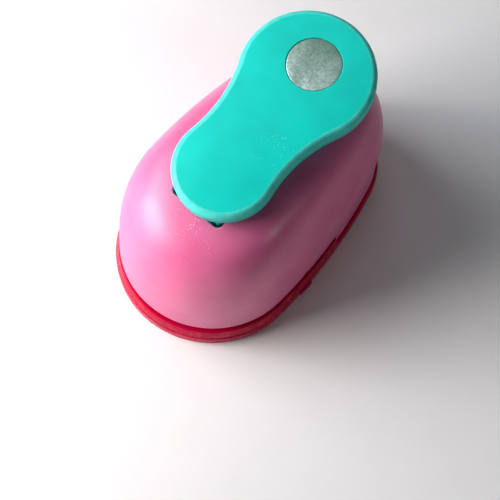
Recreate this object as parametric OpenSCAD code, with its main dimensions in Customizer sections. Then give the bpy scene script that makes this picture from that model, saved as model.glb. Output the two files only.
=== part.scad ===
// Lever hole punch: a domed shell over a paper slot, with a rocking thumb lever,
// a steel punch and die, and a snap-on tray that catches the chips.
// Front is -Y, up is +Z, and the origin is the middle of the foot. Millimetres.

/* [Body] */
// Radius of the round front end of the body's outline
front_r = 20.2; // [19.8:0.1:21]
// Radius of the round rear end of the outline
rear_r = 17.4; // [17:0.1:18]
// Distance between the centres of the two ends
end_gap = 29.4; // [29:0.1:31]
// Radius of the long, nearly straight sides
side_r = 125; // [110:1:160]
// Height of the dome's crown
dome_h = 33.6; // [33:0.1:33.8]
// Thickness of the shell
shell_t = 1.9; // [1.5:0.1:2]

/* [Lever] */
// Radius of the lever's narrow end
narrow_r = 10.1; // [9.8:0.1:10.5]
// Radius of the lever's wide thumb end
thumb_r = 13.3; // [13:0.1:14]
// Distance between the centres of the two ends
lever_gap = 23.6; // [23:0.1:24.5]
// Radius of the hollow waist between the ends
waist_r = 27.5; // [22:0.5:30]
// Thickness of the lever at its rim
lever_t = 3.4; // [3:0.1:3.5]
// Tilt of the lever at rest
lever_tilt = 11; // [11:0.1:12]

/* [Punch] */
// Diameter of the hole it makes
hole_d = 10; // [8:0.5:10]
// Radial clearance of the punch in its guides
punch_clear = 0.04; // [0.02:0.01:0.08]
// Height of the gap that takes the paper
slot_gap = 1.6; // [1.2:0.1:1.6]
// Thickness of the steel die plate
die_t = 1.6; // [1.2:0.1:1.6]

/* [Spring] */
// Diameter of the return spring's wire
wire_d = 0.8; // [0.6:0.1:0.9]
// Turns between the two closed ends
active_turns = 3; // [2.5:0.5:3]

/* [Hidden] */

eps = 0.01;
big = 60;
through = 100;

// Outline of the body: four arcs, each meeting the next without a corner
front_y = front_r - (front_r + end_gap + rear_r) / 2;
rear_y = front_y + end_gap;
mid_y = (front_y + rear_y) / 2;
side_to_front = side_r - front_r;
side_to_rear = side_r - rear_r;
side_dy = (side_to_front ^ 2 - side_to_rear ^ 2) / (2 * end_gap);
side_x = sqrt(side_to_front ^ 2 - (side_dy + end_gap / 2) ^ 2);
front_turn = atan2(-end_gap / 2 - side_dy, side_x);
rear_turn = atan2(end_gap / 2 - side_dy, side_x);
front_steps = 14;
side_steps = 5;
rear_steps = 12;

// Heights of the stack, from the foot up
tray_floor = 1;
tray_h = 2.6;
base_z = 2.7;
die_z = 3.4;
die_top = die_z + die_t;
slot_top = die_top + slot_gap;
guide_t = 1.5;
frame_z = slot_top + guide_t;
frame_t = 3.2;
frame_top = frame_z + frame_t;

// Shell
shell_inset = 0.76;
shell_lip = slot_top - 0.1;
rear_lip = 3.5;
dome_z = 8.5;
dome_draft = 0.3;
dome_round = 5.2;
dome_rise = 2.5;
dome_turns = [0, 12, 24, 36, 48, 60, 70, 78, 84, 88];
throat_y = 5.4;
opening_x = 6;
opening_front = -19.4;
opening_rear = 5;
opening_r = 1.2;
post_r = 2.8;
post_bore_r = 1;
post_bore_h = 8;
screw_bite = 6;
nick_y = -5.6;
nick_w = 1.2;
nick_h = 0.5;

// Screws and dowels that hold the stack together
shell_screw_at = [[12.5, -18.5], [-12.5, -18.5], [10.5, 17.5], [-10.5, 17.5]];
die_screw_at = [[12.2, 8.5], [-12.2, 8.5], [6.5, 23.5], [-6.5, 23.5]];
dowel_at = [[9.5, 13], [-9.5, 13]];
screw_r = 1.1;
screw_clear_r = 1.3;
head_r = 1.9;
head_t = 1.1;
head_pocket_r = 2.1;
head_pocket_t = 1.3;
dowel_r = 1.25;
dowel_h = 7.2;

// Lever and what turns with it
narrow_y = -11.4;
narrow_z = 38.8;
pivot_y = -17.5;
pivot_z = 25;
die_y = -1.5;
pin_r = 1.5;
pin_clear = 0.05;
web_in = 2.8;
web_out = 5.4;
boss_r = 3.6;
edge_r = 1.3;
crown = 0.33;
badge_r = 5.3;
badge_t = 0.6;
badge_gap = 0.15;
badge_past = 2.2;
roller_r = 3;
roller_pin_r = 1;
roller_z = pivot_z + 1;

// Frame cheeks that carry the lever's pin
cheek_in = 6.1;
cheek_t = 2.5;
cheek_out = cheek_in + cheek_t;
clip_t = 0.6;
clip_r = 3;

// Punch, its cap and spring
punch_r = hole_d / 2;
guide_r = punch_r + punch_clear;
retract = 0.3;
roller_gap = 0.05;
cap_top = roller_z - roller_r - roller_gap;
cap_t = 3;
cap_r = 7.5;
cap_seat = 1;
punch_z = slot_top + retract;
punch_top = cap_top - cap_t + cap_seat;
cap_screw_seat = cap_top - head_t - 0.1;
cap_screw_bite = 6.5;
washer_t = 0.5;
spring_z = frame_top + washer_t;
spring_top = cap_top - cap_t;
spring_r = 6.2;
spring_play = 0.05;
wire_sides = 8;
turn_steps = 20;

// Points of one arc, ends included
function arc(cx, cy, r, from, to, steps) =
    [for (i = [0:steps]) let (a = from + (to - from) * i / steps) [cx + r * cos(a), cy + r * sin(a)]];

// Right half of a list of points that starts and ends on the Y axis, and its mirror image
function both_sides(half) = concat(half, [for (i = [len(half) - 2:-1:1]) [-half[i][0], half[i][1]]]);

// Drops each point that repeats the one before it, where two arcs meet
function joined(pts) = [for (i = [0:len(pts) - 1]) if (i == 0 || norm(pts[i] - pts[i - 1]) > eps) pts[i]];

// Outline of the body, grown outwards by a distance
function oval(grow) = both_sides(joined(concat(
    arc(0, front_y, front_r + grow, -90, front_turn, front_steps),
    arc(-side_x, mid_y + side_dy, side_r + grow, front_turn, rear_turn, side_steps),
    arc(0, rear_y, rear_r + grow, rear_turn, 90, rear_steps))));

// An outline lifted to a height
function lifted(pts, z) = [for (p = pts) [p[0], p[1], z]];

// One ring of the dome: the outline shrunk towards its middle as the height rises
function dome_ring(inset, turn) =
    let (shrink = cos(turn) ^ (2 / dome_round), rise = sin(turn) ^ (2 / dome_rise))
    [for (p = oval(-shell_inset - dome_draft - inset))
        [p[0] * shrink, mid_y + (p[1] - mid_y) * shrink, dome_z + (dome_h - inset - dome_z) * rise]];

// Outline of the lever, grown outwards: two circles joined by a hollow waist, along +Y
hollow_near = narrow_r + waist_r;
hollow_far = thumb_r + waist_r;
hollow_y = (hollow_near ^ 2 - hollow_far ^ 2 + lever_gap ^ 2) / (2 * lever_gap);
hollow_x = sqrt(hollow_near ^ 2 - hollow_y ^ 2);
narrow_turn = atan2(hollow_y, hollow_x);
thumb_turn = atan2(hollow_y - lever_gap, hollow_x);
function peanut(grow) = both_sides(joined(concat(
    arc(0, 0, narrow_r + grow, -90, narrow_turn, 16),
    arc(hollow_x, hollow_y, waist_r - grow, 180 + narrow_turn, 180 + thumb_turn, 8),
    arc(0, lever_gap, thumb_r + grow, thumb_turn, 90, 20))));

// A solid through a stack of rings that all have the same number of points
module loft(rings) {
    n = len(rings[0]);
    m = len(rings);
    polyhedron(
        points = [for (ring = rings) each ring],
        faces = concat(
            [[for (i = [0:n - 1]) i]],
            [for (k = [0:m - 2], i = [0:n - 1])
                [k * n + i, (k + 1) * n + i, (k + 1) * n + (i + 1) % n, k * n + (i + 1) % n]],
            [[for (i = [n - 1:-1:0]) (m - 1) * n + i]]));
}

// A flat plate with the body's outline, drawn in by a distance
module oval_plate(inset, z, t) {
    translate([0, 0, z])
        linear_extrude(height = t)
            polygon(oval(-inset));
}

// Upright cylinders at a list of places
module pegs(places, r, z, h, sides = 32) {
    for (p = places)
        translate([p[0], p[1], z])
            cylinder(r = r, h = h, $fn = sides);
}

// A round bar along X
module crossbar(y, z, r, from_x, to_x) {
    translate([from_x, y, z])
        rotate([0, 90, 0])
            cylinder(r = r, h = to_x - from_x, $fn = 48);
}

// A flat plate that stands along Y and Z, from one X to another
module upright(pts, from_x, to_x) {
    translate([from_x, 0, 0])
        rotate([90, 0, 90])
            linear_extrude(height = to_x - from_x)
                polygon(pts);
}

// The dome's solid form, drawn in by a distance, from a height up
module dome(inset, from_z) {
    loft(concat(
        [lifted(oval(-shell_inset - inset), from_z)],
        [for (turn = dome_turns) dome_ring(inset, turn)]));
}

// Everything in front of the paper stop and below a height
module throat_space(top_z) {
    translate([-big, -big, -eps])
        cube([2 * big, big + throat_y, top_z + eps]);
}

// A screw that points up, with its head's seat at a height
module screw(seat_z, shank_r, length) {
    translate([0, 0, seat_z - head_t / 2])
        cylinder(r = shank_r, h = length + head_t / 2, $fn = 32);
    translate([0, 0, seat_z - head_t])
        cylinder(r = head_r, h = head_t, $fn = 32);
}

// Pink shell: dome, skirt cut back over the paper slot, lever opening and four screw posts
module top_shell() {
    corner_x = opening_x - opening_r;
    color("hotpink") {
        difference() {
            dome(0, rear_lip);
            dome(shell_t, rear_lip - 1);
            throat_space(shell_lip);
            for (side = [-1, 1])
                translate([side * front_r, nick_y, shell_lip])
                    cube([4, nick_w, 2 * nick_h], center = true);
            translate([-corner_x, opening_front, dome_z])
                cube([2 * corner_x, opening_rear - opening_front, dome_h]);
            translate([-opening_x, opening_front + opening_r, dome_z])
                cube([2 * opening_x, opening_rear - opening_front - 2 * opening_r, dome_h]);
            for (x = [-corner_x, corner_x], y = [opening_front + opening_r, opening_rear - opening_r])
                translate([x, y, dome_z])
                    cylinder(r = opening_r, h = dome_h, $fn = 32);
        }
        difference() {
            intersection() {
                pegs(shell_screw_at, post_r, frame_top, dome_h);
                dome(shell_t / 2, rear_lip);
            }
            pegs(shell_screw_at, post_bore_r, frame_top - eps, post_bore_h);
        }
    }
}

// Places a shape made flat, with the narrow end at the origin, at the lever's tilt
module on_lever() {
    translate([0, narrow_y, narrow_z])
        rotate([lever_tilt, 0, 0])
            children();
}

// Height of the lever plate's underside at a place along Y
function plate_under(y) = narrow_z + (y - narrow_y) * tan(lever_tilt) - lever_t / cos(lever_tilt);

// Teal lever: crowned plate, hollow below, with two webs that go down through the shell
module lever() {
    pocket = 2;
    rim = 2.2;
    web_front = -18.7;
    wall_front = -18.9;
    wall_back = -17.2;
    web_foot = cap_top + 1.25;
    web_rear = die_y + 2.6;
    lug_rear = 6.9;
    sunk = 1.2;
    color("turquoise")
        difference() {
            union() {
                on_lever()
                    difference() {
                        loft([
                            lifted(peanut(-rim), pocket - lever_t),
                            lifted(peanut(-rim), -lever_t),
                            lifted(peanut(-0.4), -lever_t),
                            lifted(peanut(0), 0.4 - lever_t),
                            lifted(peanut(0), -edge_r),
                            lifted(peanut(-edge_r * (1 - cos(45))), -edge_r * (1 - sin(45))),
                            lifted(peanut(-edge_r), 0),
                            lifted(peanut(-3), crown * 0.45),
                            lifted(peanut(-6), crown * 0.85),
                            lifted(peanut(-8.5), crown)]);
                        translate([0, lever_gap + badge_past, crown - badge_t - 0.1])
                            cylinder(r = badge_r + badge_gap, h = badge_t + 1, $fn = 64);
                    }
                for (x = [-web_out, web_in])
                    upright([
                        [web_front, plate_under(web_front) + sunk],
                        [web_front, pivot_z],
                        [pivot_y, pivot_z - boss_r * 0.6],
                        [die_y - cap_r - 0.6, web_foot],
                        [web_rear, web_foot],
                        [web_rear, pivot_z + 3.2],
                        [lug_rear, pivot_z + 4],
                        [lug_rear, dome_h - shell_t - 0.6],
                        [web_rear + 1, dome_h - shell_t - 0.3],
                        [web_rear + 1.6, plate_under(web_rear + 1.6) + sunk]],
                        x, x + web_out - web_in);
                crossbar(pivot_y, pivot_z, boss_r, -web_out, -web_in);
                crossbar(pivot_y, pivot_z, boss_r, web_in, web_out);
                upright([
                    [wall_front, pivot_z + 2.4],
                    [wall_back, pivot_z + 2.4],
                    [wall_back, plate_under(wall_back) + sunk],
                    [wall_front, plate_under(wall_front) + sunk]],
                    -web_in - 1.5, web_in + 1.5);
            }
            crossbar(pivot_y, pivot_z, pin_r + pin_clear, -big, big);
            crossbar(die_y, roller_z, roller_pin_r, -big, big);
        }
}

// Metal disc inlaid in the thumb end
module lever_badge() {
    color("silver")
        on_lever()
            translate([0, lever_gap + badge_past, crown - badge_t - 0.1])
                cylinder(r = badge_r, h = badge_t, $fn = 64);
}

// Headed pin that the lever rocks on, with a groove for its clip
module lever_pin() {
    color("lightgray")
        difference() {
            union() {
                crossbar(pivot_y, pivot_z, pin_r, -cheek_out, cheek_out + clip_t + 0.4);
                crossbar(pivot_y, pivot_z, 2.4, -cheek_out - 0.9, -cheek_out);
            }
            difference() {
                crossbar(pivot_y, pivot_z, pin_r + 1, cheek_out, cheek_out + clip_t);
                crossbar(pivot_y, pivot_z, 1.1, cheek_out - 1, cheek_out + clip_t + 1);
            }
        }
}

// Open ring that snaps into the pin's groove
module pin_clip() {
    color("dimgray")
        difference() {
            crossbar(pivot_y, pivot_z, clip_r, cheek_out, cheek_out + clip_t);
            crossbar(pivot_y, pivot_z, 1.1, cheek_out - 1, cheek_out + clip_t + 1);
            translate([cheek_out - 1, pivot_y - 1, pivot_z - clip_r - 1])
                cube([clip_t + 2, 2, clip_r + 1]);
        }
}

// Hard roller between the webs, which presses on the punch's cap
module press_roller() {
    color("gray")
        difference() {
            crossbar(die_y, roller_z, roller_r, -web_in + 0.1, web_in - 0.1);
            crossbar(die_y, roller_z, roller_pin_r + pin_clear, -big, big);
        }
}

// Pin that the roller turns on, pressed into the webs
module roller_pin() {
    color("lightgray")
        crossbar(die_y, roller_z, roller_pin_r, -web_out, web_out);
}

// Die-cast frame: guide bore for the punch and two cheeks for the lever's pin
module punch_frame() {
    plate_inset = 4.6;
    window = [14, 11];
    foot_front = pivot_y - 5.5;
    foot_rear = pivot_y + 5;
    color("darkgray")
        difference() {
            union() {
                intersection() {
                    oval_plate(plate_inset, frame_z, frame_t);
                    translate([-big, front_y - 14, 0])
                        cube([2 * big, 53, big]);
                }
                for (x = [-cheek_out, cheek_in]) {
                    upright([
                        [foot_front, frame_top - 0.5],
                        [foot_rear, frame_top - 0.5],
                        [pivot_y + boss_r, pivot_z],
                        [pivot_y - boss_r, pivot_z]],
                        x, x + cheek_t);
                    crossbar(pivot_y, pivot_z, boss_r, x, x + cheek_t);
                }
            }
            translate([0, die_y, 0])
                cylinder(r = guide_r, h = through, $fn = 96);
            crossbar(pivot_y, pivot_z, pin_r, -big, big);
            translate([-window[0] / 2, throat_y + 3.6, frame_z - 1])
                cube([window[0], window[1], frame_t + 2]);
            pegs(shell_screw_at, screw_clear_r, frame_z - 1, frame_t + 2);
            pegs(shell_screw_at, head_pocket_r, frame_z - 1, head_pocket_t + 1);
            pegs(die_screw_at, screw_r, frame_z - 1, frame_t);
            pegs(dowel_at, dowel_r, frame_z - 1, die_z + dowel_h - frame_z + 1);
        }
}

// Steel plate that guides the punch and is the ceiling of the paper slot
module guide_plate() {
    color("slategray")
        difference() {
            oval_plate(3.4, slot_top, guide_t);
            translate([0, die_y, 0])
                cylinder(r = guide_r, h = through, $fn = 96);
            pegs(die_screw_at, screw_clear_r, 0, through);
            pegs(dowel_at, dowel_r, 0, through);
        }
}

// Spacer that sets the paper slot's height and stops the paper
module throat_spacer() {
    color("slategray")
        difference() {
            oval_plate(3.4, die_top, slot_gap);
            translate([-big, -big, 0])
                cube([2 * big, big + throat_y, big]);
            pegs(die_screw_at, screw_clear_r, 0, through);
            pegs(dowel_at, dowel_r, 0, through);
        }
}

// Hardened die plate with the cutting hole
module die_plate() {
    color("lightslategray")
        difference() {
            oval_plate(3.8, die_z, die_t);
            translate([0, die_y, 0])
                cylinder(r = guide_r, h = through, $fn = 96);
            pegs(die_screw_at, screw_clear_r, 0, through);
            pegs(dowel_at, dowel_r, 0, through);
        }
}

// Two dowels that line the die up with the punch's guides
module guide_dowels() {
    color("lightgray")
        pegs(dowel_at, dowel_r, die_z, dowel_h);
}

// Four screws through the base, die, spacer and guide plate into the frame
module die_screws() {
    color("silver")
        for (p = die_screw_at)
            translate([p[0], p[1], 0])
                screw(base_z, screw_r, frame_top - 1.2 - base_z);
}

// Four screws through the frame into the shell's posts
module shell_screws() {
    color("silver")
        for (p = shell_screw_at)
            translate([p[0], p[1], 0])
                screw(frame_z + head_pocket_t, post_bore_r, frame_t - head_pocket_t + screw_bite);
}

// Steel punch with a dished cutting face
module male_punch() {
    color("lightsteelblue")
        difference() {
            translate([0, die_y, punch_z])
                cylinder(r = punch_r, h = punch_top - punch_z, $fn = 96);
            translate([0, die_y, punch_z - eps])
                cylinder(r1 = punch_r - 0.7, r2 = 1, h = 0.9, $fn = 96);
            translate([0, die_y, punch_top - cap_screw_bite - 0.5])
                cylinder(r = screw_r, h = cap_screw_bite + 1, $fn = 32);
        }
}

// Flanged cap on the punch, which takes the lever's push and the spring
module punch_cap() {
    color("ivory")
        difference() {
            translate([0, die_y, cap_top - cap_t])
                cylinder(r = cap_r, h = cap_t, $fn = 96);
            translate([0, die_y, cap_top - cap_t - eps])
                cylinder(r = punch_r, h = cap_seat + eps, $fn = 96);
            translate([0, die_y, 0])
                cylinder(r = screw_clear_r, h = through, $fn = 32);
            translate([0, die_y, cap_screw_seat])
                cylinder(r = head_pocket_r, h = cap_t, $fn = 32);
        }
}

// Screw that clamps the cap to the punch, its head sunk below the cap's face
module cap_screw() {
    color("silver")
        translate([0, die_y, 2 * cap_screw_seat])
            mirror([0, 0, 1])
                screw(cap_screw_seat, screw_r, cap_screw_seat - punch_top + cap_screw_bite);
}

// Height of the spring wire's centre after a number of turns: a closed turn at each end
end_pitch = wire_d * 1.06;
pitch = (spring_top - spring_z - 2 * spring_play - wire_d - 2 * end_pitch) / active_turns;
function spring_rise(t) =
    t < 1 ? t * end_pitch
    : t > 1 + active_turns ? active_turns * pitch + (t - active_turns) * end_pitch
    : end_pitch + (t - 1) * pitch;

// One ring of points around the wire
function wire_ring(t) =
    let (mid_z = spring_z + spring_play + wire_d / 2 + spring_rise(t))
    [for (i = [wire_sides - 1:-1:0])
        let (a = 360 * i / wire_sides, r = spring_r + wire_d / 2 * cos(a))
        [r * cos(360 * t), die_y + r * sin(360 * t), mid_z + wire_d / 2 * sin(a)]];

// Compression spring that lifts the punch and the lever
module return_spring() {
    color("gainsboro")
        loft([for (k = [0:(active_turns + 2) * turn_steps]) wire_ring(k / turn_steps)]);
}

// Washer under the spring
module spring_washer() {
    color("silver")
        translate([0, die_y, frame_top])
            difference() {
                cylinder(r = 7.2, h = washer_t, $fn = 96);
                translate([0, 0, -1])
                    cylinder(r = punch_r + 0.3, h = 3, $fn = 96);
            }
}

// Crimson base: the red band below the paper slot, with a pocket for the die plate
module base_frame() {
    pocket_inset = 3.75;
    rear_wall = 2.8;
    chip_inset = 6.5;
    color("crimson")
        difference() {
            loft([lifted(oval(-0.15), base_z), lifted(oval(-0.75), die_top)]);
            oval_plate(pocket_inset, die_z, big);
            difference() {
                translate([-big, throat_y, die_z])
                    cube([2 * big, big, big]);
                oval_plate(rear_wall, 0, big);
            }
            intersection() {
                oval_plate(chip_inset, 0, big);
                translate([-big, -big, 0])
                    cube([2 * big, big + throat_y - 0.4, big]);
            }
            pegs(die_screw_at, screw_clear_r, 0, through);
        }
}

// Chip tray: the flanged foot that snaps off to be emptied, with a pry tab on each side
module chip_tray() {
    edge = 0.35;
    wall = 3;
    tab = [2, 4, 1.4];
    tab_out = 0.5;
    tab_y = -8.2;
    tongue = [1.2, 8, 2.2];
    tongue_x = front_r - 6.6;
    color("palevioletred")
        difference() {
            union() {
                loft([
                    lifted(oval(-edge), 0),
                    lifted(oval(0), edge),
                    lifted(oval(0), tray_h - edge),
                    lifted(oval(-edge), tray_h)]);
                for (side = [-1, 1])
                    translate([side * (front_r + tab_out) - (side > 0 ? tab[0] : 0), tab_y, 0.6])
                        cube(tab);
            }
            difference() {
                oval_plate(wall, tray_floor, big);
                for (side = [-1, 1])
                    translate([side * tongue_x - (side > 0 ? tongue[0] : 0), tab_y - 2, 0])
                        cube(tongue + [0, 0, tray_floor]);
            }
        }
}

top_shell();
lever();
lever_badge();
lever_pin();
pin_clip();
press_roller();
roller_pin();
punch_frame();
guide_plate();
throat_spacer();
die_plate();
guide_dowels();
die_screws();
shell_screws();
male_punch();
punch_cap();
cap_screw();
return_spring();
spring_washer();
base_frame();
chip_tray();
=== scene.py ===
# %% [markdown]
# # A lever hole punch
# A craft punch that stands in the palm: a pink domed shell over a paper slot, a teal lever that
# rocks on a pin inside the dome, a crimson base and a crimson tray that catches the chips.
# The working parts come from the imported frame, and this script gives each one its finish.
# The parts that the eye meets are moulded plastic, all curves. Those are drawn again here as fine
# surfaces, because a working model only needs facets.

import bpy
import numpy as np
from mathutils import Matrix, Vector


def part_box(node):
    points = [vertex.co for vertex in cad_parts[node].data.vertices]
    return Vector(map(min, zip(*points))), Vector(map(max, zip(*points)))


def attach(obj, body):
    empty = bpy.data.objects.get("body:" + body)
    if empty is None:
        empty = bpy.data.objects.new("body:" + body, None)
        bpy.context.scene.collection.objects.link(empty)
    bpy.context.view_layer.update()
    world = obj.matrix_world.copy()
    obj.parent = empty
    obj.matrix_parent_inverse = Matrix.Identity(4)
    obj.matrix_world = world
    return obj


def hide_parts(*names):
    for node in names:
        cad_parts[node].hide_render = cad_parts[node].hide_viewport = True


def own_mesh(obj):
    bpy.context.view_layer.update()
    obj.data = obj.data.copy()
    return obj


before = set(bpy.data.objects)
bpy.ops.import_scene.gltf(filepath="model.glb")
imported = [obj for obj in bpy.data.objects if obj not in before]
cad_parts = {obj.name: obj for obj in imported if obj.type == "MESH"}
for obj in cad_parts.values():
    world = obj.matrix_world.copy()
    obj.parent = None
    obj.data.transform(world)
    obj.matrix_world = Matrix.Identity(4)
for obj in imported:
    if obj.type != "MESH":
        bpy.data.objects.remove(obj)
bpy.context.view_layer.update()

# %% [markdown]
# ## Heights from the frame
# Lengths below are in millimetres, the unit a moulder works in, and become metres only when a mesh
# is made. Every height is read off a neighbour in the frame, so the new surfaces can't drift from
# the parts they cover.

# %% Heights and helpers for units
MM = 0.001


def lowest(node):
    """Height of a node's lowest point, in mm."""
    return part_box(node)[0][2] / MM


def highest(node):
    """Height of a node's highest point, in mm."""
    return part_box(node)[1][2] / MM


tray_top = highest("chip_tray")
base_low = lowest("base_frame")
base_top = highest("base_frame")
die_low = lowest("die_plate")
slot_top = lowest("guide_plate")
frame_top = lowest("spring_washer")
rear_lip = lowest("top_shell")
dome_top = highest("top_shell")
die_y = (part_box("male_punch")[0][1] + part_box("male_punch")[1][1]) / 2 / MM
throat_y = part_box("throat_spacer")[0][1] / MM
print(f"paper slot {slot_top - base_top:.1f} mm high, {throat_y - die_y:.1f} mm past the die")

# %% [markdown]
# ## Outlines as arcs
# A moulder's outline is a chain of arcs that meet without a corner. Each point on one is kept with
# the way it faces. Moving every point along its own facing grows the outline by an exact distance,
# so one chain gives every wall, lip and fillet. A curve object with an offset could do this too,
# but its points can't be reached as numbers.

# %% Trace a chain of arcs


def trace(arcs, step):
    """Points and facings along arcs of the right half, then their mirror image.

    place = centre + radius * (cos turn, sin turn), facing = side * (cos turn, sin turn),
    where side is -1 for an arc that hollows the outline.
    """
    places, facings = [], []
    for centre, radius, start, end, side in arcs:
        count = max(2, round(abs(end - start) * radius / step))
        turn = np.linspace(start, end, count, endpoint=False)
        aim = np.column_stack([np.cos(turn), np.sin(turn)])
        places.append(np.array(centre) + radius * aim)
        facings.append(side * aim)
    centre, radius = arcs[-1][:2]
    places = np.vstack(places + [[[0, centre[1] + radius]]])
    facings = np.vstack(facings + [[[0, 1]]])
    places[0, 0] = 0
    flip = np.array([-1, 1])
    return (
        np.vstack([places, places[-2:0:-1] * flip]),
        np.vstack([facings, facings[-2:0:-1] * flip]),
    )


def grown(outline, distance):
    """The outline moved outwards: place + facing * distance."""
    places, facings = outline
    return places + facings * np.asarray(distance, float)[..., None]


# %% Outline of the body
front_r = 20.2
rear_r = 17.4
end_gap = 29.4
side_r = 125
front_y = front_r - (front_r + end_gap + rear_r) / 2
rear_y = front_y + end_gap
mid_y = (front_y + rear_y) / 2
to_front = side_r - front_r
to_rear = side_r - rear_r
side_dy = (to_front**2 - to_rear**2) / (2 * end_gap)
side_x = np.sqrt(to_front**2 - (side_dy + end_gap / 2) ** 2)
front_turn = np.arctan2(-end_gap / 2 - side_dy, side_x)
rear_turn = np.arctan2(end_gap / 2 - side_dy, side_x)
quarter = np.pi / 2
body_arcs = [
    ((0, front_y), front_r, -quarter, front_turn, 1),
    ((-side_x, mid_y + side_dy), side_r, front_turn, rear_turn, 1),
    ((0, rear_y), rear_r, rear_turn, quarter, 1),
]
oval = trace(body_arcs, 0.5)
print(f"body {2 * oval[0][:, 0].max():.1f} x {np.ptp(oval[0][:, 1]):.1f} mm, {len(oval[0])} points")

# %% Outline of the lever
narrow_r = 10.1
thumb_r = 13.3
lever_gap = 23.6
waist_r = 27.5
hollow_near = narrow_r + waist_r
hollow_far = thumb_r + waist_r
hollow_y = (hollow_near**2 - hollow_far**2 + lever_gap**2) / (2 * lever_gap)
hollow_x = np.sqrt(hollow_near**2 - hollow_y**2)
narrow_turn = np.arctan2(hollow_y, hollow_x)
thumb_turn = np.arctan2(hollow_y - lever_gap, hollow_x)
lever_arcs = [
    ((0, 0), narrow_r, -quarter, narrow_turn, 1),
    ((hollow_x, hollow_y), waist_r, np.pi + narrow_turn, np.pi + thumb_turn, -1),
    ((0, lever_gap), thumb_r, thumb_turn, quarter, 1),
]
peanut = trace(lever_arcs, 0.3)
print(f"lever {np.ptp(peanut[0][:, 1]):.1f} mm long, waist {2 * (hollow_x - waist_r):.1f} mm")

# %% [markdown]
# ## From grids to meshes
# Every new piece is a grid: rows run along a profile and columns run round the outline. Two
# neighbours along each way make a face. A tube-like piece joins its last row to its first; a solid
# one is capped by strips that join each point to its mirror image, so that no cap has a crowded
# centre.

# %% Grid and mesh helpers


def bend(centre, radius, start, end, count=6):
    """Profile points (growth, height) on an arc: centre + radius * (cos, sin), turns in degrees."""
    turn = np.radians(np.linspace(start, end, count))
    return np.column_stack([np.cos(turn), np.sin(turn)]) * radius + np.array(centre)


def swept(outline, profile):
    """Grid of a profile carried round an outline: each row is grown by its first value and
    lifted to its second. Either value may differ from point to point."""
    growth, height = [np.asarray(v, float) for v in (profile[0], profile[1])]
    count = len(outline[0])
    growth = np.broadcast_to(growth.reshape(len(growth), -1), (len(growth), count))
    height = np.broadcast_to(height.reshape(len(height), -1), (len(height), count))
    flat = outline[0] + outline[1] * growth[..., None]
    return np.concatenate([flat, height[..., None]], axis=2)


def skin(grid, ring=False):
    """Points and faces over a grid whose columns wrap. With ring, the rows wrap as well;
    without it, the first and last rows are capped by strips across their mirror line."""
    rows, cols = grid.shape[:2]
    index = np.arange(rows * cols).reshape(rows, cols)
    along = np.vstack([index, index[:1]]) if ring else index
    near = np.hstack([along, along[:, :1]])
    faces = np.stack([near[:-1, :-1], near[:-1, 1:], near[1:, 1:], near[1:, :-1]], axis=-1)
    faces = faces.reshape(-1, 4).tolist()
    if not ring:
        for row, order in ((index[0], -1), (index[-1], 1)):
            i = np.arange(1, cols // 2 - 1)
            strips = np.stack([row[i], row[i + 1], row[cols - i - 1], row[cols - i]], axis=-1)
            faces += strips[:, ::order].tolist()
            far = cols // 2
            tips = [[row[0], row[1], row[-1]], [row[far - 1], row[far], row[far + 1]]]
            faces += [tip[::order] for tip in tips]
    return grid.reshape(-1, 3), faces


def build(name, skins, sharp=35):
    """One mesh object from a list of (points in mm, faces), smooth except over sharp edges."""
    points, faces, start = [], [], 0
    for part_points, part_faces in skins:
        points.append(part_points)
        faces += [[start + v for v in face] for face in part_faces]
        start += len(part_points)
    mesh = bpy.data.meshes.new(name)
    mesh.from_pydata((np.vstack(points) * MM).tolist(), [], faces)
    mesh.shade_smooth()
    mesh.set_sharp_from_angle(angle=np.radians(sharp))
    made = bpy.data.objects.new(name, mesh)
    bpy.context.scene.collection.objects.link(made)
    return made


def report(piece):
    """Prints a piece's size and face count."""
    size = [side / MM for side in piece.dimensions]
    print(f"{piece.name}: {size[0]:.1f} x {size[1]:.1f} x {size[2]:.1f} mm,",
          len(piece.data.polygons), "faces")


# %% Round bars and rounded blocks
def lathe(profile, centre, axis=2, sides=64):
    """Closed turned form: each profile point (radius, height) swept round an axis through centre.
    The profile starts and ends on the axis side, and its two ends are capped by fans."""
    turn = np.linspace(0, 2 * np.pi, sides, endpoint=False)
    radius, height = np.asarray(profile, float).T
    grid = np.stack(
        [np.outer(radius, np.cos(turn)), np.outer(radius, np.sin(turn)),
         np.repeat(height[:, None], sides, axis=1)], axis=-1)
    grid = np.roll(grid, axis - 2, axis=2)
    points, faces = skin(grid)
    return points + np.array(centre), faces


def block(centre, size, edge=4, steps=24):
    """Rounded block: a superellipsoid, |x/a|^n + |y/b|^n + |z/c|^n = 1 with a high power n, from
    sin and cos raised to 2/n so that the points crowd towards the corners."""
    def power(v):
        return np.sign(v) * np.abs(v) ** (2 / edge)

    around = np.linspace(-np.pi / 2, 1.5 * np.pi, 2 * steps, endpoint=False)
    up = np.linspace(-np.pi / 2, np.pi / 2, steps + 1)[1:-1]
    flat = power(np.cos(up))[:, None]
    unit = np.stack([flat * power(np.cos(around)), flat * power(np.sin(around)),
                     np.repeat(power(np.sin(up))[:, None], 2 * steps, axis=1)], axis=-1)
    points, faces = skin(unit * np.array(size) / 2)
    return points + np.array(centre), faces


# %% [markdown]
# ## The pink shell
# The real shell is one injection moulding with a wall under 2 mm: a domed top, a skirt that is cut
# back at the front for the paper, a slot in the crown for the lever and four posts for screws. A
# subdivided cube would bulge in the wrong places. The dome is a superellipse instead, a square-
# shouldered oval both in plan and in side view, so one formula gives the outside, the inside and
# the place where the slot cuts it.

# %% Dome formula
shell_inset = 0.76
shell_wall = 1.9
skirt_draft = 0.3
dome_low = 8.5
round_power = 5.2
rise_power = 2.5
opening_x = 6
opening_front = -19.4
opening_rear = 5
opening_r = 1.2
shell_lip = slot_top - 0.1
nick_y = -5.6
nick_w = 1.2
nick_h = 0.5


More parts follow.
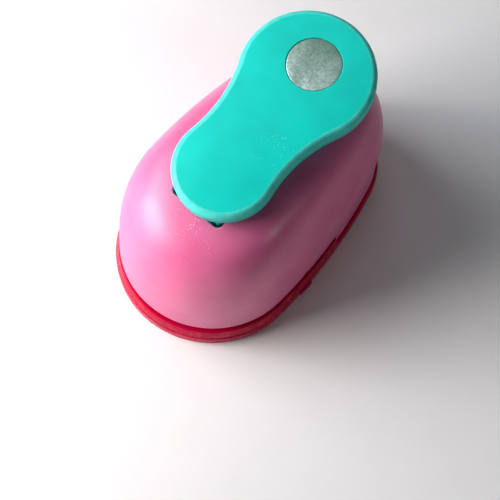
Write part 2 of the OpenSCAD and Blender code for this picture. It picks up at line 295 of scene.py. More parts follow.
def dome_height(share, inset):
    """Height of the dome at a share of the way from its middle (0) to its foot (1):
    share^5.2 + rise^2.5 = 1, where rise is the height over the full rise."""
    rise = (1 - np.clip(share, 0, 1) ** round_power) ** (1 / rise_power)
    return dome_low + (dome_top - inset - dome_low) * rise


def opening_reach(aim):
    """How far the lever's opening reaches from the dome's middle along unit vectors: a rectangle
    with rounded corners, cut by its sides or, near a corner, by the corner's circle."""
    half = np.where(aim[:, 1] < 0, mid_y - opening_front, opening_rear - mid_y)
    size = np.abs(aim)
    to_side, to_end = np.maximum(size, 1e-9).T
    reach = np.minimum(opening_x / to_side, half / to_end)
    corner = np.column_stack([np.full(len(aim), opening_x - opening_r), half - opening_r])
    along = (size * corner).sum(axis=1)
    miss = (corner**2).sum(axis=1) - along**2
    rounded = along + np.sqrt(np.maximum(opening_r**2 - miss, 0))
    hit = size * reach[:, None]
    in_corner = (hit > corner).all(axis=1)
    return np.where(in_corner, rounded, reach)


def lip_height(y, x):
    """Height of the shell's lower edge: high over the paper slot, low behind the paper stop, with
    a small nick in each side."""
    behind = np.clip((y - throat_y) / 0.3 + 0.5, 0, 1)
    nick = np.clip((nick_w / 2 - np.abs(y - nick_y)) / 0.2 + 0.5, 0, 1) * (np.abs(x) > opening_x)
    return shell_lip + (rear_lip - shell_lip) * behind + nick_h * nick


# %% Shell columns, crowded where the edge turns
fine = trace(body_arcs, 0.04)
foot = grown(fine, -shell_inset - skirt_draft) - [0, mid_y]
foot_reach = np.linalg.norm(foot, axis=1)
edge_point = foot / foot_reach[:, None] * opening_reach(foot / foot_reach[:, None])[:, None]
edge_z = lip_height(fine[0][:, 1], fine[0][:, 0])


def strides(points):
    """Distance from each point to the next one round."""
    return np.linalg.norm(np.roll(points, -1, axis=0) - points, axis=1)


travel = strides(foot) + 3 * strides(edge_point) + 3 * strides(edge_z[:, None])
travel = np.concatenate([[0], np.cumsum(travel)])
shell_cols = 560
where = np.interp(np.linspace(0, travel[-1], shell_cols, endpoint=False), travel,
                  np.arange(len(travel)))
before = where.astype(int) % len(foot)
after = (before + 1) % len(foot)
part = (where - where.astype(int))[:, None]
shell_line = tuple(side[before] * (1 - part) + side[after] * part for side in fine)
print("shell columns:", shell_cols, "from", len(foot), "fine points")

# %% Shell surface
lip_r = 0.45
rim_r = 0.35
inner_rim_r = 0.25
dome_rows = 60
inner_rows = 30


def skirt_growth(z, inset):
    """Growth of the skirt at a height: it leans in by the draft on its way up."""
    return -shell_inset - inset - skirt_draft * (z - rear_lip) / (dome_low - rear_lip)


def skirt(z_from, z_to, rows, inset):
    """Rows of the straight skirt between two heights."""
    share = np.linspace(0, 1, rows)[:, None]
    z = z_from + (z_to - z_from) * share
    return swept(shell_line, (skirt_growth(z, inset), z))


def dome(inset, stop, rows):
    """Rows of the dome from its foot up to where it stops short of the opening. Steps shrink near
    the foot as a power, which spaces the rows evenly up the steep side."""
    base = grown(shell_line, -shell_inset - skirt_draft - inset) - [0, mid_y]
    reach = np.linalg.norm(base, axis=1)
    opening = opening_reach(base / reach[:, None])
    last = (opening + stop) / reach
    share = 1 - (1 - last) * np.linspace(0, 1, rows)[:, None] ** rise_power
    z = dome_height(share, inset)
    flat = base * share[..., None] + [0, mid_y]
    return np.concatenate([flat, z[..., None]], axis=2), opening


lip_z = lip_height(shell_line[0][:, 1], shell_line[0][:, 0])[None]
rim_turn = np.radians(np.linspace(-90, 0, 5))[:, None]
outer_rim = swept(shell_line, (
    skirt_growth(lip_z + rim_r, 0) + rim_r * (np.cos(rim_turn) - 1),
    lip_z + rim_r * (1 + np.sin(rim_turn))))
outer_dome, opening = dome(0, lip_r, dome_rows)
inner_dome = dome(shell_wall, 0, inner_rows)[0]
crown_edge = outer_dome[-1]
aim = crown_edge[:, :2] - [0, mid_y]
aim /= np.linalg.norm(aim, axis=1)[:, None]
lip_turn = np.radians(np.linspace(0, 90, 8))[1:, None]
lip_flat = (opening + lip_r - lip_r * np.sin(lip_turn))[..., None] * aim + [0, mid_y]
lip_rise = crown_edge[:, 2] - lip_r * (1 - np.cos(lip_turn))
lip = np.concatenate([lip_flat, lip_rise[..., None]], axis=2)
inner_turn = np.radians(np.linspace(0, -90, 4))[:, None]
inner_rim = swept(shell_line, (
    skirt_growth(lip_z + inner_rim_r, shell_wall) + inner_rim_r * (1 - np.cos(inner_turn)),
    lip_z + inner_rim_r * (1 + np.sin(inner_turn))))
shell_grid = np.concatenate([
    outer_rim,
    skirt(lip_z + rim_r, dome_low, 5, 0)[1:-1],
    outer_dome,
    lip,
    inner_dome[::-1],
    skirt(dome_low, lip_z + inner_rim_r, 4, shell_wall)[1:-1],
    inner_rim,
])

# %% Screw posts inside the shell
post_r = 2.8
post_bore_r = 1.05
post_depth = 8


def post(x, y):
    """Hollow post: a turned tube from the frame up into the dome's wall, blind at the top."""
    base = grown(fine, -shell_inset - skirt_draft - shell_wall) - [0, mid_y]
    heading = np.arctan2(base[:, 1], base[:, 0])
    nearest = np.abs(heading - np.arctan2(y - mid_y, x)).argmin()
    share = (np.hypot(x, y - mid_y) + post_r) / np.linalg.norm(base[nearest])
    top = dome_height(share, shell_wall)
    return lathe([
        (0.05, post_depth + frame_top), (post_bore_r, post_depth + frame_top),
        (post_bore_r, frame_top + 0.3), (post_bore_r + 0.3, frame_top),
        (post_r - 0.2, frame_top), (post_r, frame_top + 0.2),
        (post_r, top + 0.3), (0.05, top + 0.3)], (x, y, 0), sides=32)


post_places = [(12.5, -18.5), (-12.5, -18.5), (10.5, 17.5), (-10.5, 17.5)]
posts = [post(x, y) for x, y in post_places]
shell = build("shell", [skin(shell_grid, ring=True)] + posts)
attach(shell, "body")
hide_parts("top_shell")
report(shell)

# %% [markdown]
# ## The lever
# The lever is a second moulding: a peanut-shaped plate with a rounded rim, hollow below, and two
# webs that go down through the dome to the pin and the roller. The plate is swept in rings that
# shrink towards its spine, which keeps the crown smooth. The webs, their bosses and the cross wall
# are slabs, joined to the plate with the Boolean modifier, and the same modifier then drills the
# pin holes and sinks the badge's seat, as a mould's core pins do.

# %% Lever plate
lever_t = 3.4
lever_tilt = np.radians(11)
narrow_y = -11.4
narrow_z = 38.8
edge_r = 1.3
crown = 0.33
spine = 8.6
pocket_floor = -1.4
pocket_rim = 2.2


def from_edge(x, y):
    """Distance in from the lever's outline: to the narrow circle, the hollow's circle or the thumb
    circle, whichever faces the point. The limits are the lines that join the circles' centres."""
    x = np.abs(x)
    low = y * hollow_x < hollow_y * x
    high = (y - lever_gap) * hollow_x > (hollow_y - lever_gap) * x
    waist = np.hypot(x - hollow_x, y - hollow_y) - waist_r
    return np.where(low, narrow_r - np.hypot(x, y),
                    np.where(high, thumb_r - np.hypot(x, y - lever_gap), waist))


def crowned(grid):
    """Lifts the rows of the top: height = crown * sin of the way in from the rim to the spine."""
    way = (from_edge(grid[..., 0], grid[..., 1]) - edge_r) / (spine - edge_r)
    grid[..., 2] = crown * np.sin(np.clip(way, 0, 1) * quarter)
    return grid


def tilted(points):
    """Lever places: turned about X by the tilt and moved to the narrow end's place."""
    c, s = np.cos(lever_tilt), np.sin(lever_tilt)
    x, y, z = points[..., 0], points[..., 1], points[..., 2]
    return np.stack([x, narrow_y + y * c - z * s, narrow_z + y * s + z * c], axis=-1)


under = [(-grow, pocket_floor) for grow in np.linspace(spine, pocket_rim + 1, 6)]
plate_profile = np.vstack([
    under,
    bend((-pocket_rim - 0.5, pocket_floor - 0.5), 0.5, 90, 0),
    bend((-pocket_rim + 0.3, 0.3 - lever_t), 0.3, 180, 270, 4),
    bend((-0.45, 0.45 - lever_t), 0.45, -90, 0, 5),
    [(0, (-lever_t - edge_r) / 2)],
    bend((-edge_r, -edge_r), edge_r, 0, 90, 12),
])
top_growth = -np.linspace(edge_r, spine, 24)[1:]
plate_top = crowned(swept(peanut, (top_growth, np.zeros(len(top_growth)))))
plate_grid = np.concatenate([swept(peanut, plate_profile.T), plate_top])
plate = build("lever", [skin(tilted(plate_grid))])
report(plate)

# %% Webs, bosses and cross wall
pivot_y = -17.5
pivot_z = 25
roller_z = 26
cap_top = highest("punch_cap")
cap_r = (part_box("punch_cap")[1][0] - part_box("punch_cap")[0][0]) / 2 / MM
web_in = 2.8
web_out = 5.4
boss_r = 3.6
pin_r = 1.55
roller_pin_r = 1.0
web_front = -18.7
wall_front = -18.9
wall_back = -17.2
lug_rear = 6.9
web_foot = cap_top + 1.25
web_rear = die_y + 2.6


def under_plate(y):
    """Height just inside the plate's underside at a place along Y."""
    return narrow_z + (y - narrow_y) * np.tan(lever_tilt) - lever_t / np.cos(lever_tilt) + 1.2


def slab(corners, x_from, x_to, soft=0.25):
    """Flat plate standing along Y and Z with softened edges: the outline is drawn in by soft at
    its two faces. Each corner moves along the mean of its two sides' facings, which draws every
    side in by the same distance."""
    corners = np.array(corners, float)
    side = np.roll(corners, -1, axis=0) - corners
    side /= np.linalg.norm(side, axis=1)[:, None]
    out = np.column_stack([side[:, 1], -side[:, 0]])
    pair = out + np.roll(out, 1, axis=0)
    mitre = pair * (2 / (pair**2).sum(axis=1))[:, None]
    if (out * (corners - corners.mean(axis=0))).sum() < 0:
        mitre = -mitre
    steps = [(x_from, soft), (x_from + soft, 0), (x_to - soft, 0), (x_to, soft)]
    rows = [np.column_stack([np.full(len(corners), x), corners - mitre * drawn])
            for x, drawn in steps]
    count = len(corners)
    faces = [[k * count + i, k * count + (i + 1) % count, (k + 1) * count + (i + 1) % count,
              (k + 1) * count + i] for k in range(3) for i in range(count)]
    faces += [list(range(count))[::-1], list(range(3 * count, 4 * count))]
    return np.vstack(rows), faces


def rod(y, z, radius, x_from, x_to, soft=0.0):
    """Turned bar along X, with chamfers of size soft."""
    points, faces = lathe([(0.05, x_from), (radius - soft, x_from), (radius, x_from + soft),
                           (radius, x_to - soft), (radius - soft, x_to), (0.05, x_to)],
                          (0, 0, 0), sides=64)
    return np.column_stack([points[:, 2], y + points[:, 0], z + points[:, 1]]), faces


web_side = [
    (web_front, under_plate(web_front)), (web_front, pivot_z), (pivot_y, pivot_z - 0.6 * boss_r),
    (die_y - cap_r - 0.6, web_foot), (web_rear, web_foot), (web_rear, pivot_z + 3.2),
    (lug_rear, pivot_z + 4), (lug_rear, dome_top - shell_wall - 0.6),
    (web_rear + 1, dome_top - shell_wall - 0.3), (web_rear + 1.6, under_plate(web_rear + 1.6)),
]
wall_side = [(wall_front, pivot_z + 2.4), (wall_back, pivot_z + 2.4),
             (wall_back, under_plate(wall_back)), (wall_front, under_plate(wall_front))]
ribs = []
for side in (-1, 1):
    low, high = sorted((side * web_in, side * web_out))
    ribs.append(slab(web_side, low, high))
    ribs.append(rod(pivot_y, pivot_z, boss_r, low - 0.01, high + 0.01, 0.25))
ribs.append(slab(wall_side, -web_in - 1.5, web_in + 1.5, 0.1))

# %% Join the ribs and drill the holes
badge_r = 5.3
badge_t = 0.6
badge_gap = 0.06
badge_y = lever_gap + 2.2
badge_seat = crown - 0.1 - badge_t
seat_r = badge_r + badge_gap
seat_soft = 0.14


def combine(target, part, operation):
    """Applies one Boolean of a closed (points, faces) part to the target, and removes the part."""
    tool = build("tool", [part])
    tool.data.validate()
    fix = target.modifiers.new(operation, "BOOLEAN")
    fix.object = tool
    fix.operation = operation
    fix.solver = "EXACT"
    shaped = bpy.data.meshes.new_from_object(
        target.evaluated_get(bpy.context.evaluated_depsgraph_get()))
    target.modifiers.clear()
    old = target.data
    target.data = shaped
    bpy.data.meshes.remove(old)
    bpy.data.objects.remove(tool)


for rib in ribs:
    combine(plate, rib, "UNION")
seat = lathe(np.vstack([
    [(0.05, badge_seat), (seat_r - 0.1, badge_seat), (seat_r, badge_seat + 0.1)],
    bend((seat_r + seat_soft, crown - 0.02 - seat_soft), seat_soft, 180, 90, 5),
    [(seat_r + seat_soft + 0.05, crown + 1), (0.05, crown + 1)]]), (0, badge_y, 0), sides=96)
combine(plate, (tilted(seat[0]), seat[1]), "DIFFERENCE")
for y, z, radius in ((pivot_y, pivot_z, pin_r), (die_y, roller_z, roller_pin_r)):
    combine(plate, rod(y, z, radius, -web_out - 2, web_out + 2), "DIFFERENCE")
plate.data.name = "lever"
plate.data.shade_smooth()
plate.data.set_sharp_from_angle(angle=np.radians(35))
lever = plate
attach(lever, "thumb_lever")
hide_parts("lever")
report(lever)

# %% [markdown]
# ## The badge
# A stamped metal disc is glued into a round seat in the thumb end. The stamp rounds its rim, so one
# side of the rim catches the light. The working model leaves a wider gap round it; here the gap is
# drawn nearly shut, because no dark ring shows round the real disc.

# %% Badge
badge_profile = np.vstack([
    [(0.05, badge_seat)],
    bend((badge_r - 0.06, badge_seat + 0.06), 0.06, -90, 0, 4),
    bend((badge_r - 0.14, badge_seat + badge_t - 0.14), 0.14, 0, 90, 6),
    [(badge_r - 0.6, badge_seat + badge_t - 0.02), (badge_r / 2, badge_seat + badge_t - 0.01),
     (0.05, badge_seat + badge_t - 0.01)],
])
disc = lathe(badge_profile, (0, badge_y, 0), sides=128)
badge = build("badge", [(tilted(disc[0]), disc[1])])
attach(badge, "thumb_lever")
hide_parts("lever_badge")
report(badge)

# %% [markdown]
# ## The crimson base
# The base is a drafted band that carries the die plate. At the front it stands up to the paper
# slot; behind the paper stop it is cut back so that the shell's skirt comes down outside it. The
# band is one profile carried round the oval, and two of its corners slide with the height that the
# band has at each place.

# %% Base
base_foot = -0.15
base_crest = -0.75
land = 2.8
pocket = 3.75
window = 6.5
soft = 0.3
place = oval[0]
behind = np.clip((place[:, 1] - throat_y) / 0.5 + 0.5, 0, 1)
band_top = base_top - 0.06 + (die_low - base_top + 0.06) * behind
lean = (base_crest - base_foot) / (base_top - base_low)


def band(z):
    """Growth of the band's outer wall at a height."""
    return base_foot + lean * (z - base_low)


turn = np.radians(np.linspace(0, 90, 6))[:, None]
foot_turn = np.radians(np.linspace(-90, 0, 4))[:, None]
foot_soft = 0.15
shoulder = band_top - soft
one = np.ones(len(place))
base_growth = np.vstack([
    band(base_low) - foot_soft + foot_soft * np.cos(foot_turn) * one,
    band(shoulder) - soft + soft * np.cos(turn),
    -land * one[None],
    (-land - 0.05) * one[None],
    -pocket * one[None],
    -pocket * one[None],
    -window * one[None],
    -window * one[None],
])
base_height = np.vstack([
    base_low + foot_soft + foot_soft * np.sin(foot_turn) * one,
    shoulder + soft * np.sin(turn),
    (band_top + 0.02)[None],
    base_top * one[None],
    base_top * one[None],
    die_low * one[None],
    die_low * one[None],
    base_low * one[None],
])
base_grid = swept(oval, (base_growth, base_height))
window_rear = throat_y - 0.4
base_grid[-2:, :, 1] = np.minimum(base_grid[-2:, :, 1], window_rear)
base = build("base", [skin(base_grid, ring=True)])
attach(base, "body")
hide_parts("base_frame")
report(base)

# %% [markdown]
# ## The chip tray
# The foot of the punch snaps off to be emptied. It is a shallow dish with a flange as wide as the
# body, a pry tab on each side and two tongues that grip the base.

# %% Tray
tray_soft = 0.35
tray_wall = 3
tray_floor = 1.0
tab = (2.0, 4.0, 1.4)
tab_y = -6.2
tongue = (1.2, 8.0, 2.2)
tray_profile = np.vstack([
    [(-grow, 0.0) for grow in (15, 12, 8, 4, 1.5)],
    bend((-tray_soft, tray_soft), tray_soft, -90, 0),
    bend((-tray_soft, tray_top - tray_soft), tray_soft, 0, 90, 8),
    bend((-tray_wall + 0.2, tray_top - 0.2), 0.2, 90, 180, 4),
    bend((-tray_wall - 0.6, tray_floor + 0.6), 0.6, 0, -90, 6),
    [(-grow, tray_floor) for grow in (6, 10, 15)],
])
tray_parts = [skin(swept(oval, tray_profile.T))]
tab_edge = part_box("chip_tray")[1][0] / MM
tab_low = 0.6
tongue_edge = front_r - 6.6
tongue_low = tray_floor - 0.1
for side in (-1, 1):
    tray_parts.append(block((side * (tab_edge - tab[0] / 2), tab_y, tab_low + tab[2] / 2), tab, 6))
    tray_parts.append(block((side * (tongue_edge - tongue[0] / 2), tab_y,
                             tongue_low + tongue[2] / 2), tongue, 8))
tray = build("tray", tray_parts)
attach(tray, "tray")
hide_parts("chip_tray")
report(tray)

# %% [markdown]
# ## The return spring
# A compression spring of hard wire, with a closed turn at each end. It is a circle carried along a
# helix whose climb per turn changes from closed to open and back.

# %% Spring
spring_low, spring_high = [corner[2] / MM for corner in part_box("return_spring")]
wire_r = 0.4
spring_r = (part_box("return_spring")[1][0] / MM) - wire_r
active_turns = 3
closed_climb = 2 * wire_r * 1.06
spring_climb = spring_high - spring_low - 2 * wire_r
turns = np.linspace(0, active_turns + 2, 64 * (active_turns + 2) + 1)
climb = np.interp(turns, [0, 1, 1 + active_turns, 2 + active_turns],
                  [0, closed_climb, spring_climb - closed_climb, spring_climb])
round_wire = np.radians(np.arange(0, 360, 360 / 16))
coil = 2 * np.pi * turns[:, None]
reach = spring_r + wire_r * np.cos(round_wire)
spring_grid = np.stack([
    reach * np.cos(coil),
    die_y + reach * np.sin(coil),
    spring_low + wire_r + climb[:, None] + wire_r * np.sin(round_wire)], axis=-1)
spring_points, spring_faces = skin(spring_grid)
spring = build("spring", [(spring_points, [face[::-1] for face in spring_faces])])
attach(spring, "body")
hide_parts("return_spring")
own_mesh(spring)
report(spring)

# %% [markdown]
# ## Finishes
# Each finish starts from what the real part is made of. One function turns a paint-chart hex value
# into the linear colour that the renderer works in, and one adds a node with its settings and
# links, so a material below reads as a short recipe.

# %% Mark the edges


def mark_edges(piece, spare_at=(0, 0, 0), spare_r=0):
    """Point attribute "edge": how sharply the surface bends outward, in radians per mm. Across
    each edge that is the change of normal, along the line between the two faces' centres, over
    the length of that line; a point takes the sharpest of its edges. Points within spare_r mm of
    spare_at are left unmarked."""
    mesh = piece.data
    normal = np.empty(3 * len(mesh.polygons))
    mesh.polygons.foreach_get("normal", normal)
    centre = np.empty(3 * len(mesh.polygons))
    mesh.polygons.foreach_get("center", centre)
    sides = np.empty(len(mesh.polygons), dtype=np.int32)
    mesh.polygons.foreach_get("loop_total", sides)
    edge_at = np.empty(len(mesh.loops), dtype=np.int32)
    mesh.loops.foreach_get("edge_index", edge_at)
    ends = np.empty(2 * len(mesh.edges), dtype=np.int32)
    mesh.edges.foreach_get("vertices", ends)
    normal, centre, ends = normal.reshape(-1, 3), centre.reshape(-1, 3) / MM, ends.reshape(-1, 2)
    face_at = np.repeat(np.arange(len(sides)), sides)
    order = np.argsort(edge_at, kind="stable")
    paired = np.flatnonzero(edge_at[order][1:] == edge_at[order][:-1])
    one, two = face_at[order[paired]], face_at[order[paired + 1]]
    across = centre[two] - centre[one]
    gap = np.maximum(np.linalg.norm(across, axis=1), 0.05)
    bent = ((normal[two] - normal[one]) * across).sum(axis=1) / gap ** 2
    sharpest = np.zeros(len(mesh.vertices))
    for end in (0, 1):
        np.maximum.at(sharpest, ends[edge_at[order[paired]], end], bent)
    point = np.empty(3 * len(mesh.vertices))
    mesh.vertices.foreach_get("co", point)
    off = np.linalg.norm(point.reshape(-1, 3) / MM - spare_at, axis=1)
    sharpest[off < spare_r] = 0
    mark = mesh.attributes.new("edge", "FLOAT", "POINT")
    mark.data.foreach_set("value", np.clip(sharpest, 0, 2))
    print(piece.name, "edges marked on", int((sharpest > 0.3).sum()), "of", len(sharpest), "points")


for piece in (shell, base, tray):
    mark_edges(piece)
# The disc sits against the rim of its seat, so hands never rub that edge; the pale edge, partly
# wear and partly painted highlight, is left off there.
mark_edges(lever, tilted(np.array([[0, badge_y, crown]]))[0], seat_r + 0.6)

# %% Material helpers


def linear(hexcode, alpha=1.0):
    """Linear colour from an sRGB hex value: v/12.92 below 0.04045, else ((v+0.055)/1.055)^2.4."""
    value = np.array([int(hexcode[i:i + 2], 16) for i in (1, 3, 5)]) / 255
    value = np.where(value <= 0.04045, value / 12.92, ((value + 0.055) / 1.055) ** 2.4)
    return (*value.tolist(), alpha)


def add(tree, kind, inputs=None, **settings):
    """Adds a shader node. Settings are its properties; inputs are values, or sockets to link."""
    made = tree.nodes.new("ShaderNode" + kind)
    for name, value in settings.items():
        setattr(made, name, value)
    for name, value in (inputs or {}).items():
        if isinstance(value, bpy.types.NodeSocket):
            tree.links.new(value, made.inputs[name])
        else:
            made.inputs[name].default_value = value
    return made


def material(name):
    """An empty node material: its tree, its shader and the object coordinates its patterns use."""
    made = bpy.data.materials.new(name)
    made.use_nodes = True
    tree = made.node_tree
    tree.nodes.clear()
    out = add(tree, "OutputMaterial")
    shader = add(tree, "BsdfPrincipled")
    tree.links.new(shader.outputs["BSDF"], out.inputs["Surface"])
    return made, tree, shader, add(tree, "TexCoord").outputs["Object"]


def per_mm(size):
    """Texture scale, in cells per metre, of a pattern whose cells are that many mm across."""
    return 1 / (size * MM)


# %% [markdown]
# ### Moulded plastics
# ABS comes out of a spark-eroded mould satin, with a fine even grain. What the eye sees is a soft
# wide highlight, tiny dust nibs that catch the light, paler edges and a slow drift of tone where
# the melt flowed. The pale edges are partly wear and partly a painted highlight along each edge.
# One recipe makes the pink and the teal; the crimson polystyrene is the same recipe from a more
# polished mould. It is drawn opaque.

# %% Moulded plastic recipe


def moulded(name, base, deep, dust_and_highlight, rough, ior, grain, bump, shine, wear_highlight_share=0.45,
            nibs_at=(2, -23, 31)):
    """Moulded plastic: tone drifts between base and deep over 9 mm, grain is the mould's texture
    in mm, shine is the reflection's strength (0.5 is clean plastic, less is a greasy skin). The
    third colour is the pale of the dust nibs, thickest round nibs_at in mm, and of sharp edges;
    the share after shine is how far the edges go towards it, a paleness that is partly wear and
    partly a painted highlight."""
    made, tree, shader, place = material(name)
    flow = add(tree, "TexNoise", {"Vector": place, "Scale": per_mm(9), "Detail": 2.0})
    tone = add(tree, "MapRange", {"Value": flow.outputs["Fac"], "From Min": 0.35, "From Max": 0.65})
    colour = add(tree, "Mix", {"Factor": tone.outputs["Result"], "A": linear(base),
                               "B": linear(deep)}, data_type="RGBA")
    # Pale edges: the colour goes paler wherever the surface turns sharply, partly rubbed plastic
    # and partly a painted highlight along the edge.
    turned = add(tree, "Attribute", attribute_name="edge")
    edge_breakup = add(tree, "TexNoise", {"Vector": place, "Scale": per_mm(1.2), "Detail": 3.0})
    sharp = add(tree, "MapRange", {"Value": turned.outputs["Fac"], "From Min": 0.3,
                                   "From Max": 1.2})
    edge_pale_mix = add(tree, "Math", {0: sharp.outputs["Result"], 1: edge_breakup.outputs["Fac"]},
               operation="MULTIPLY")
    edge_pale_mix = add(tree, "Math", {0: edge_pale_mix.outputs["Value"], 1: wear_highlight_share}, operation="MULTIPLY")
    worn_and_highlit = add(tree, "Mix", {"Factor": edge_pale_mix.outputs["Value"], "A": colour.outputs["Result"],
                               "B": linear(dust_and_highlight)}, data_type="RGBA")
    # Nibs: real ones are 0.05 mm across, drawn about twice as coarse so that they can be seen.
    cells = add(tree, "TexVoronoi", {"Vector": place, "Scale": per_mm(0.5)})
    away = add(tree, "VectorMath", {0: place, 1: tuple(value * MM for value in nibs_at)},
               operation="DISTANCE")
    near = add(tree, "MapRange", {"Value": away.outputs["Value"], "From Min": 3 * MM,
                                  "From Max": 13 * MM, "To Min": 0.34, "To Max": 0.05})
    size = add(tree, "TexNoise", {"Vector": place, "Scale": per_mm(2.2), "Detail": 1.0})
    patch = add(tree, "MapRange", {"Value": size.outputs["Fac"], "From Min": 0.36,
                                   "From Max": 0.70})
    limit = add(tree, "Math", {0: near.outputs["Result"], 1: patch.outputs["Result"]},
                operation="MULTIPLY")
    nib = add(tree, "Math", {0: cells.outputs["Distance"], 1: limit.outputs["Value"]},
              operation="LESS_THAN")
    faint = add(tree, "Math", {0: nib.outputs["Value"], 1: 0.35}, operation="MULTIPLY")
    speckled = add(tree, "Mix", {"Factor": faint.outputs["Value"], "A": worn_and_highlit.outputs["Result"],
                                 "B": linear(dust_and_highlight)}, data_type="RGBA")
    tree.links.new(speckled.outputs["Result"], shader.inputs["Base Color"])
    wipe = add(tree, "TexNoise", {"Vector": place, "Scale": per_mm(4), "Detail": 5.0,
                                  "Roughness": 0.6})
    sheen = add(tree, "MapRange", {"Value": wipe.outputs["Fac"], "From Min": 0.3, "From Max": 0.7,
                                   "To Min": rough - 0.05, "To Max": rough + 0.06})
    tree.links.new(sheen.outputs["Result"], shader.inputs["Roughness"])
    texture = add(tree, "TexNoise", {"Vector": place, "Scale": per_mm(grain), "Detail": 2.0})
    height = add(tree, "Math", {0: texture.outputs["Fac"], 1: faint.outputs["Value"]},
                 operation="ADD")
    relief = add(tree, "Bump", {"Height": height.outputs["Value"], "Strength": bump,
                                "Distance": 0.03 * MM})
    tree.links.new(relief.outputs["Normal"], shader.inputs["Normal"])
    shader.inputs["IOR"].default_value = ior
    shader.inputs["Specular IOR Level"].default_value = shine
    return made


pink_abs = moulded("moulded ABS pink", "#e5719f", "#dd6595", "#ffc4dd", 0.38, 1.54, 0.22, 0.30, 0.5)
teal_abs = moulded("moulded ABS teal", "#00d6c8", "#00cabc", "#8df5ea", 0.38, 1.54, 0.22, 0.28,
                   0.25, 1.0, (8, -3, 41))
crimson_ps = moulded("moulded polystyrene crimson", "#c8003c", "#b80034", "#f0507f", 0.26, 1.59,
                     0.30, 0.12, 0.05, 0.0, (0, 0, 90))
crimson_clear = moulded("moulded polystyrene crimson tray", "#cc0444", "#b40038", "#f56b96", 0.20,
                        1.59, 0.35, 0.10, 0.08, 0.1, (0, 0, 90))
print("plastics:", [m.name for m in (pink_abs, teal_abs, crimson_ps, crimson_clear)])

# %% [markdown]
# ### Metals
# The badge is aluminium blasted with fine grit: a grey with small light and dark blotches and no
# clear reflection, and a painted shade that darkens it towards the rear. The plates are steel
# ground flat, so their highlights run along one way. The frame is die-cast zinc with a dull,
# slightly cloudy skin. Pins and screws are plated.

# %% Metal recipe


def metal(name, base, deep, rough, grain, stretch=(1, 1, 1), bump=0.15, spread=0.08, rear_shade=None):
    """Bare or plated metal: blotches between base and deep, grain in mm that may be stretched
    along an axis as grinding leaves it, with the roughness moving by spread. The last argument,
    if given, is a painted shade: the two y values in mm between which its darker colour takes
    over, and that colour."""
    made, tree, shader, place = material(name)
    lie = add(tree, "Mapping", {"Vector": place, "Scale": stretch})
    noise = add(tree, "TexNoise", {"Vector": lie.outputs["Vector"], "Scale": per_mm(grain),
                                   "Detail": 4.0, "Roughness": 0.65})
    cloud = add(tree, "TexNoise", {"Vector": place, "Scale": per_mm(5), "Detail": 2.0})
    blend = add(tree, "Math", {0: noise.outputs["Fac"], 1: cloud.outputs["Fac"]},
                operation="MULTIPLY")
    tone = add(tree, "MapRange", {"Value": blend.outputs["Value"], "From Min": 0.14,
                                  "From Max": 0.36})
    colour = add(tree, "Mix", {"Factor": tone.outputs["Result"], "A": linear(deep),
                               "B": linear(base)}, data_type="RGBA")
    # Painted shade: a darker colour takes over towards larger y, where the light falls off across
    # the part.
    if rear_shade:
        y = add(tree, "SeparateXYZ", {"Vector": place}).outputs["Y"]
        shade_ramp = add(tree, "MapRange", {"Value": y, "From Min": rear_shade[0] * MM,
                                       "From Max": rear_shade[1] * MM, "To Max": 0.85})
        colour = add(tree, "Mix", {"Factor": shade_ramp.outputs["Result"], "A": colour.outputs["Result"],
                                   "B": linear(rear_shade[2])}, data_type="RGBA")
    tree.links.new(colour.outputs["Result"], shader.inputs["Base Color"])
    sheen = add(tree, "MapRange", {"Value": noise.outputs["Fac"], "From Min": 0.3, "From Max": 0.7,
                                   "To Min": rough - spread, "To Max": rough + spread})
    tree.links.new(sheen.outputs["Result"], shader.inputs["Roughness"])
    relief = add(tree, "Bump", {"Height": noise.outputs["Fac"], "Strength": bump,
                                "Distance": 0.02 * MM})
    tree.links.new(relief.outputs["Normal"], shader.inputs["Normal"])
    shader.inputs["Metallic"].default_value = 1.0
    return made


# The badge's rear is painted darker: painted shade where the light falls off across the disc.
blasted_aluminium = metal("blasted aluminium", "#e2fbf2", "#8fb3a6", 0.50, 0.5, bump=0.6,
                          rear_shade=(10, 20, "#5f8a78"))
ground_steel = metal("ground steel", "#c9cbcd", "#9da1a5", 0.30, 0.12, (0.08, 1, 1), 0.25)
hardened_steel = metal("hardened steel", "#b4b7bb", "#84888d", 0.26, 0.15, (1, 1, 0.1), 0.2)
zinc_plate = metal("zinc plate", "#d3d6da", "#a9b0b8", 0.28, 0.25, bump=0.12)
zinc_casting = metal("die-cast zinc", "#a9acae", "#83878a", 0.48, 0.6, bump=0.4)
spring_wire = metal("spring wire", "#b9bcc0", "#85898f", 0.24, 0.2, bump=0.15)
acetal = moulded("moulded acetal white", "#ece9e1", "#e2ded4", "#fbfaf6", 0.34, 1.48, 0.3, 0.15,
                 0.4, 0.0)

# %% Put each finish on its parts
finishes = {
    shell: pink_abs, lever: teal_abs, base: crimson_ps, tray: crimson_clear,
    badge: blasted_aluminium, spring: spring_wire,
}
for piece, finish in finishes.items():
    piece.data.materials.clear()
    piece.data.materials.append(finish)
node_finishes = {
    "lever_pin": zinc_plate, "pin_clip": spring_wire, "press_roller": hardened_steel,
    "roller_pin": hardened_steel, "punch_frame": zinc_casting, "guide_plate": ground_steel,
    "throat_spacer": ground_steel, "die_plate": ground_steel, "guide_dowels": hardened_steel,
    "die_screws": zinc_plate, "shell_screws": zinc_plate, "male_punch": hardened_steel,
    "punch_cap": acetal, "cap_screw": zinc_plate, "spring_washer": zinc_plate,
}
for node, finish in node_finishes.items():
    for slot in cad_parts[node].material_slots:
        slot.material = finish
print("finished", len(finishes), "pieces and", len(node_finishes), "nodes")

# %% [markdown]
# ## Floor, light and camera
# The punch stands on a plain pale floor. A soft lamp stands low and near at the front left, so the
# left of the dome glows and the right falls into shade. A wider lamp above it lights the lever, a
# small one on the right draws the line along the lever's waist, and a weak high one keeps the
# shadow on the floor from going black.

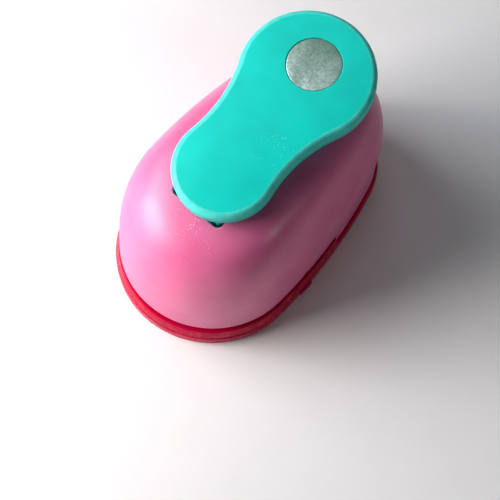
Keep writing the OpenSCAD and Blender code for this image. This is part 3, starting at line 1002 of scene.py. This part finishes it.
# %% Floor
floor_mesh = bpy.data.meshes.new("floor")
half = 3.0
floor_mesh.from_pydata([(-half, -half, 0), (half, -half, 0), (half, half, 0), (-half, half, 0)],
                       [], [(0, 1, 2, 3)])
floor = bpy.data.objects.new("floor", floor_mesh)
bpy.context.scene.collection.objects.link(floor)
paper, tree, shader, place = material("matt white card")
fibre = add(tree, "TexNoise", {"Vector": place, "Scale": per_mm(8), "Detail": 3.0})
tone = add(tree, "Mix", {"Factor": fibre.outputs["Fac"], "A": linear("#f4f4f4"),
                         "B": linear("#f8f8f8")}, data_type="RGBA")
tree.links.new(tone.outputs["Result"], shader.inputs["Base Color"])
shader.inputs["Roughness"].default_value = 0.9
floor_mesh.materials.append(paper)

# %% Light


def lamp(name, place, aim_at, size, power, colour):
    """Square area lamp at a place in metres, facing a point."""
    light = bpy.data.lights.new(name, "AREA")
    light.size = size
    light.energy = power
    light.color = linear(colour)[:3]
    made = bpy.data.objects.new(name, light)
    made.location = place
    made.rotation_euler = (Vector(aim_at) - Vector(place)).to_track_quat("-Z", "Y").to_euler()
    bpy.context.scene.collection.objects.link(made)


def from_side(bearing, height, reach):
    """Place at a bearing from the front (left is negative) and a height, both in degrees."""
    turn, rise = np.radians([bearing, height])
    flat = reach * np.cos(rise)
    return (flat * np.sin(turn), -flat * np.cos(turn), reach * np.sin(rise))


lamp("window", from_side(-42, 24, 0.27), (0, -0.01, 0.02), 0.16, 1.0, "#fff8f4")
lamp("skylight", from_side(-68, 40, 0.42), (0, 0, 0.02), 0.25, 1.15, "#f6f9ff")
lamp("far_wall", from_side(98, 34, 0.60), (0, 0, 0.04), 0.05, 0.3, "#ffffff")
lamp("ceiling", (-0.35, 0.25, 1.1), (0, 0, 0), 0.5, 0.9, "#f6f8ff")
world = bpy.data.worlds.new("room")
world.use_nodes = True
world.node_tree.nodes["Background"].inputs["Color"].default_value = linear("#f2f4f8")
world.node_tree.nodes["Background"].inputs["Strength"].default_value = 0.02
bpy.context.scene.world = world
bpy.context.scene.view_settings.view_transform = "Standard"

# %% Camera
look_at = np.array([7.92, -10.65, 10.0]) * MM
distance = 240 * MM
azimuth, elevation, roll = np.radians([32.5, 67.0, 8.9])
away = np.array([np.sin(azimuth) * np.cos(elevation), -np.cos(azimuth) * np.cos(elevation),
                 np.sin(elevation)])
level = np.array([np.cos(azimuth), np.sin(azimuth), 0])
steep = np.cross(away, level)
right = np.cos(roll) * level + np.sin(roll) * steep
up = -np.sin(roll) * level + np.cos(roll) * steep
lens = bpy.data.cameras.new("camera")
lens.sensor_width = 36
lens.lens = 84.0
camera = bpy.data.objects.new("camera", lens)
turned = Matrix(np.column_stack([right, up, away]).tolist()).to_4x4()
camera.matrix_world = Matrix.Translation(look_at + away * distance) @ turned
bpy.context.scene.collection.objects.link(camera)
bpy.context.scene.camera = camera

# %% The end
bpy.context.view_layer.update()
